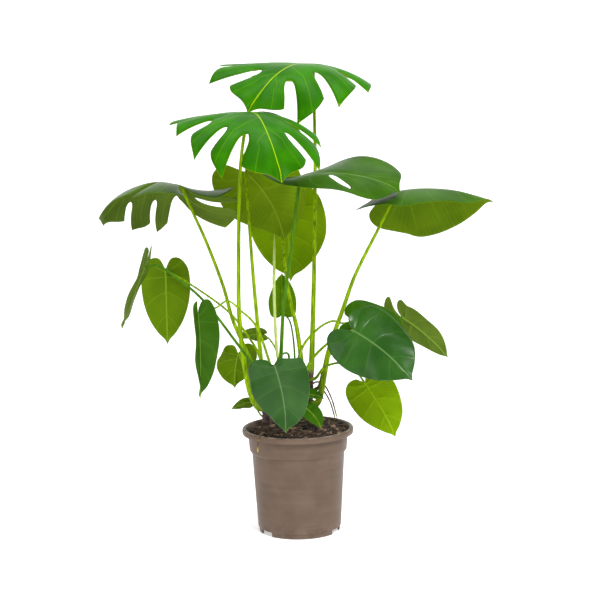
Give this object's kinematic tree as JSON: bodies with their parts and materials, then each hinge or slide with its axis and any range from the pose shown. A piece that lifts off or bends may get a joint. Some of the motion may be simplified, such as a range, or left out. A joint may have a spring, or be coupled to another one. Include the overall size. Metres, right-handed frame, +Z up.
{
  "type": "potted monstera plant",
  "caption": "Potted monstera: split and heart-shaped leaves on arching green stalks rise from soil in a round taupe plastic nursery pot with a rolled rim and notched foot.",
  "frame": {"origin": "on the pot's axis at the level its foot stands on, which is also the middle of the plant's footprint", "axes": "+Z up along the pot's axis; -Y towards the side with the lowest hanging split leaf tips, the plant's front; +X to the right seen from the front"},
  "size_m": [0.7253, 0.5066, 0.8782],
  "materials": {
    "pot_plastic": "satin",
    "potting_soil": "matte",
    "blade_green": "satin",
    "stalk_green": "satin",
    "cane_brown": "matte",
    "root_brown": "matte"
  },
  "bodies": {
    "root": {"blade_base_left": "blade_green", "blade_behind_right": "blade_green", "blade_centre": "blade_green", "blade_centre_back": "blade_green", "blade_crown": "blade_green", "blade_front": "blade_green", "blade_front_right": "blade_green", "blade_left": "blade_green", "blade_left_edge": "blade_green", "blade_left_folded": "blade_green", "blade_left_heart": "blade_green", "blade_low_left": "blade_green", "blade_low_right": "blade_green", "blade_right": "blade_green", "blade_right_curled": "blade_green", "blade_small_back": "blade_green", "blade_sprout_lower": "blade_green", "blade_sprout_upper": "blade_green", "blade_top_left": "blade_green", "blade_upper_right": "blade_green", "blade_young": "blade_green", "cane_centre": "cane_brown", "cane_left": "cane_brown", "cane_right": "cane_brown", "green_stub": "stalk_green", "pot": "pot_plastic", "rolled_leaf": "stalk_green", "root_centre": "root_brown", "root_left": "root_brown", "root_right_inner": "root_brown", "root_right_outer": "root_brown", "soil": "potting_soil", "stalk_base_left": "stalk_green", "stalk_behind_right": "stalk_green", "stalk_centre": "stalk_green", "stalk_centre_back": "stalk_green", "stalk_crown": "stalk_green", "stalk_front": "stalk_green", "stalk_front_right": "stalk_green", "stalk_left": "stalk_green", "stalk_left_edge": "stalk_green", "stalk_left_folded": "stalk_green", "stalk_left_heart": "stalk_green", "stalk_low_left": "stalk_green", "stalk_low_right": "stalk_green", "stalk_right": "stalk_green", "stalk_right_curled": "stalk_green", "stalk_small_back": "stalk_green", "stalk_sprout_lower": "stalk_green", "stalk_sprout_upper": "stalk_green", "stalk_top_left": "stalk_green", "stalk_upper_right": "stalk_green", "stalk_young": "stalk_green"}
  },
  "joints": []
}
